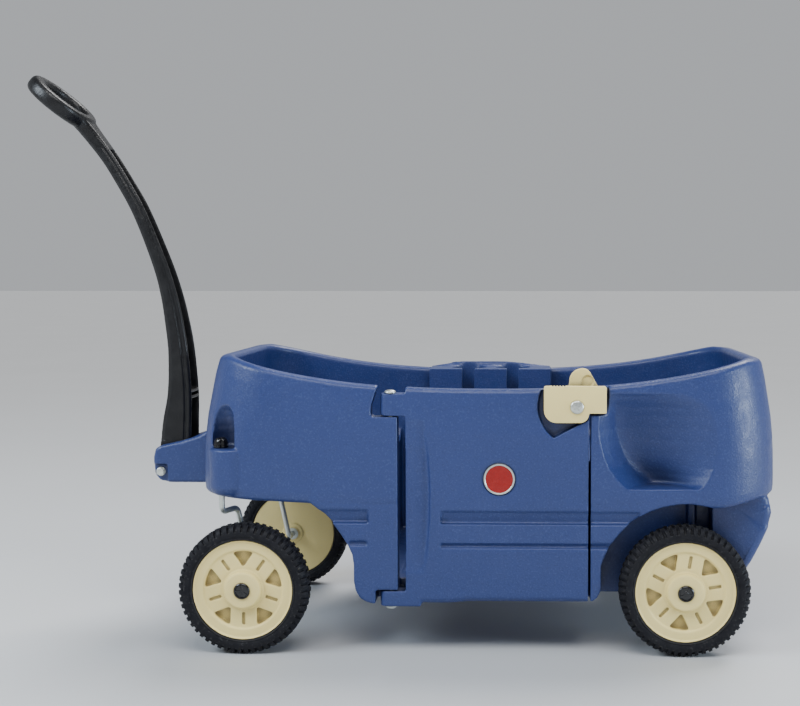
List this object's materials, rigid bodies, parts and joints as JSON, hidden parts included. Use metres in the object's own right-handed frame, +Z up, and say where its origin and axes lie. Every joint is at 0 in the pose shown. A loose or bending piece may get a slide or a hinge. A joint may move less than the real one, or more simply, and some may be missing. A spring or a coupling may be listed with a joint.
{
  "type": "kids pull wagon",
  "caption": "Moulded two-seat pull wagon with a raised wavy rim, a hinged side door with a turn latch, cup wells, a side pocket, a curved pull handle and treaded wheels on bent swivels.",
  "frame": {"origin": "on the ground, in the middle of the overall length and width", "axes": "+X towards the tail, the handle is at -X; the door is on the -Y side; +Z up"},
  "size_m": [1.2721, 0.5, 0.9503],
  "materials": {
    "blue_plastic": "rotomoulded polyethylene, mid blue with fine pale speckle, satin",
    "cream_plastic": "cream moulded polyethylene, satin",
    "black_plastic": "black moulded plastic, semi-gloss with a fine grain",
    "tyre_rubber": "black moulded tread, matt",
    "steel": "zinc-plated steel",
    "red_plastic": "plain red disc with a bright ring, no lettering"
  },
  "bodies": {
    "tub": {"tub": "blue_plastic", "hinge_pin_top": "steel", "hinge_pin_bottom": "steel", "handle_bolt": "steel", "handle_nut": "steel", "rear_axle": "steel", "rear_left_hub_cap": "black_plastic", "rear_right_hub_cap": "black_plastic", "rear_left_washer": "steel", "rear_right_washer": "steel"},
    "door": {"door": "blue_plastic", "door_reflector": "red_plastic"},
    "latch": {"latch_plate": "cream_plastic", "latch_tab": "cream_plastic", "latch_bolt": "steel", "latch_nut": "steel"},
    "handle": {"handle": "black_plastic"},
    "front_swivel_left": {"front_spindle_left": "steel", "kingpin_cap_left": "black_plastic", "front_left_hub_cap": "black_plastic", "front_left_washer": "steel"},
    "front_swivel_right": {"front_spindle_right": "steel", "kingpin_cap_right": "black_plastic", "front_right_hub_cap": "black_plastic", "front_right_washer": "steel"},
    "front_left_wheel": {"front_left_rim": "cream_plastic", "front_left_tyre": "tyre_rubber"},
    "front_right_wheel": {"front_right_rim": "cream_plastic", "front_right_tyre": "tyre_rubber"},
    "rear_left_wheel": {"rear_left_rim": "cream_plastic", "rear_left_tyre": "tyre_rubber"},
    "rear_right_wheel": {"rear_right_rim": "cream_plastic", "rear_right_tyre": "tyre_rubber"}
  },
  "joints": [
    {"name": "handle_pitch", "type": "hinge", "parent": "tub", "child": "handle", "pos_m": [-0.407, 0, 0.264], "axis": [0, -1, 0], "range_deg": [0, 90]},
    {"name": "door_hinge", "type": "hinge", "parent": "tub", "child": "door", "pos_m": [0.0116, -0.222, 0.25], "axis": [0, 0, -1], "range_deg": [0, 100]},
    {"name": "latch_turn", "type": "hinge", "parent": "door", "child": "latch", "pos_m": [0.3075, -0.222, 0.3977], "axis": [0, -1, 0], "range_deg": [0, 28]},
    {"name": "front_swivel_left", "type": "hinge", "parent": "tub", "child": "front_swivel_left", "pos_m": [-0.265, 0.2, 0.28], "axis": [0, 0, 1], "continuous": true},
    {"name": "front_swivel_right", "type": "hinge", "parent": "tub", "child": "front_swivel_right", "pos_m": [-0.265, -0.2, 0.28], "axis": [0, 0, 1], "continuous": true},
    {"name": "front_left_wheel_spin", "type": "hinge", "parent": "front_swivel_left", "child": "front_left_wheel", "pos_m": [-0.224, 0.2205, 0.104], "axis": [0, 1, 0], "continuous": true},
    {"name": "front_right_wheel_spin", "type": "hinge", "parent": "front_swivel_right", "child": "front_right_wheel", "pos_m": [-0.224, -0.2205, 0.104], "axis": [0, 1, 0], "continuous": true},
    {"name": "rear_left_wheel_spin", "type": "hinge", "parent": "tub", "child": "rear_left_wheel", "pos_m": [0.48, 0.2205, 0.104], "axis": [0, 1, 0], "continuous": true},
    {"name": "rear_right_wheel_spin", "type": "hinge", "parent": "tub", "child": "rear_right_wheel", "pos_m": [0.48, -0.2205, 0.104], "axis": [0, 1, 0], "continuous": true}
  ]
}
